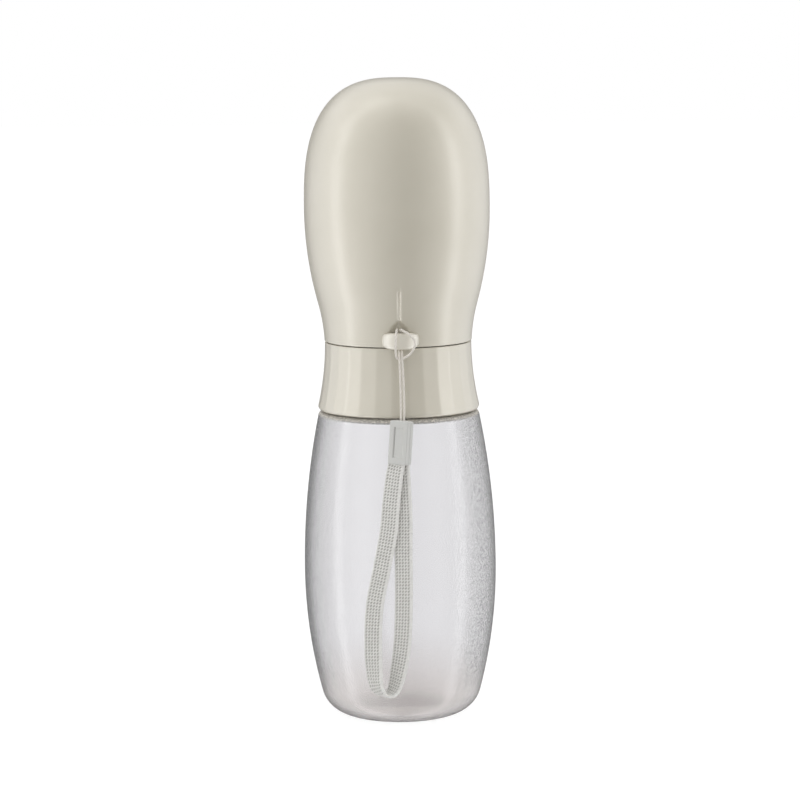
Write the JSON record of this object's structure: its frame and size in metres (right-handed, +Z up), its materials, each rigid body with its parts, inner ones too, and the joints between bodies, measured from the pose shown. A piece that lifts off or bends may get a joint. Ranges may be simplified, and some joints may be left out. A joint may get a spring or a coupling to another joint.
{
  "type": "dog travel water bottle",
  "caption": "Clear travel bottle with a union collar and a scoop head that opens as a drinking trough; a push button lifts a sprung valve, and a wrist strap hangs from a lug.",
  "frame": {"origin": "centre of the foot, on the surface the bottle stands on", "axes": "+Z up along the bottle's axis, +Y towards the open side of the trough and the button, -Y towards the lug and the lanyard"},
  "size_m": [0.07, 0.0763, 0.2317],
  "materials": {
    "clear_bottle": "clear moulding with a fine frosted texture",
    "silicone": "soft white silicone",
    "seal_rubber": "dark seal rubber",
    "pearl_shell": "satin pearl beige moulding",
    "trim": "satin beige moulding, a shade darker",
    "inner_plastic": "plain moulding",
    "steel": "stainless steel",
    "cord": "fine braided nylon",
    "ferrule": "pale grey moulding",
    "webbing": "woven light grey and white strap"
  },
  "bodies": {
    "bottle": {"bottle": "clear_bottle"},
    "head": {"head_base": "trim", "base_screw_1": "steel", "base_screw_2": "steel", "base_screw_3": "steel", "neck_gasket": "silicone", "head_shell": "pearl_shell", "trough_floor": "pearl_shell", "floor_seal": "silicone", "outlet_grille": "trim", "valve_housing": "inner_plastic", "valve_spring": "steel", "rod_seal": "seal_rubber", "button_spring": "steel", "button_bezel": "trim"},
    "collar": {"collar": "pearl_shell"},
    "button": {"push_button": "trim", "button_rod": "trim", "rod_clip": "steel"},
    "valve": {"valve_stem": "inner_plastic", "valve_seal": "silicone", "stem_pin": "steel"},
    "lock": {"lock_slider": "trim", "lock_clip": "steel"},
    "lanyard": {"hitch_cord": "cord", "ferrule_front": "ferrule", "ferrule_back": "ferrule", "wrist_strap": "webbing"}
  },
  "joints": [
    {"name": "head_lift", "type": "slide", "parent": "bottle", "child": "head", "axis": [0, 0, 1], "range_m": [0, 0.006]},
    {"name": "collar_turn", "type": "hinge", "parent": "head", "child": "collar", "pos_m": [0, 0, 0.125], "axis": [0, 0, 1], "range_deg": [0, 540.1]},
    {"name": "button_press", "type": "slide", "parent": "head", "child": "button", "axis": [0, -1, 0], "range_m": [0, 0.0025], "stiffness_N_per_m": 200, "springref_m": -0.003, "deforming": ["button_spring"]},
    {"name": "valve_lift", "type": "slide", "parent": "head", "child": "valve", "axis": [0, 0, 1], "range_m": [0, 0.0025], "stiffness_N_per_m": 100, "springref_m": -0.003, "deforming": ["valve_spring"]},
    {"name": "lock_slide", "type": "slide", "parent": "head", "child": "lock", "axis": [0, 0, 1], "range_m": [0, 0.003]},
    {"name": "lanyard_swing", "type": "hinge", "parent": "head", "child": "lanyard", "pos_m": [0, -0.0296, 0.1401], "axis": [-1, 0, 0], "range_deg": [0, 90]}
  ],
  "couplings": [
    {"joint": "collar_turn", "follows": "head_lift", "rad_per_m": 1570.8},
    {"joint": "valve_lift", "follows": "button_press", "ratio": 1}
  ]
}
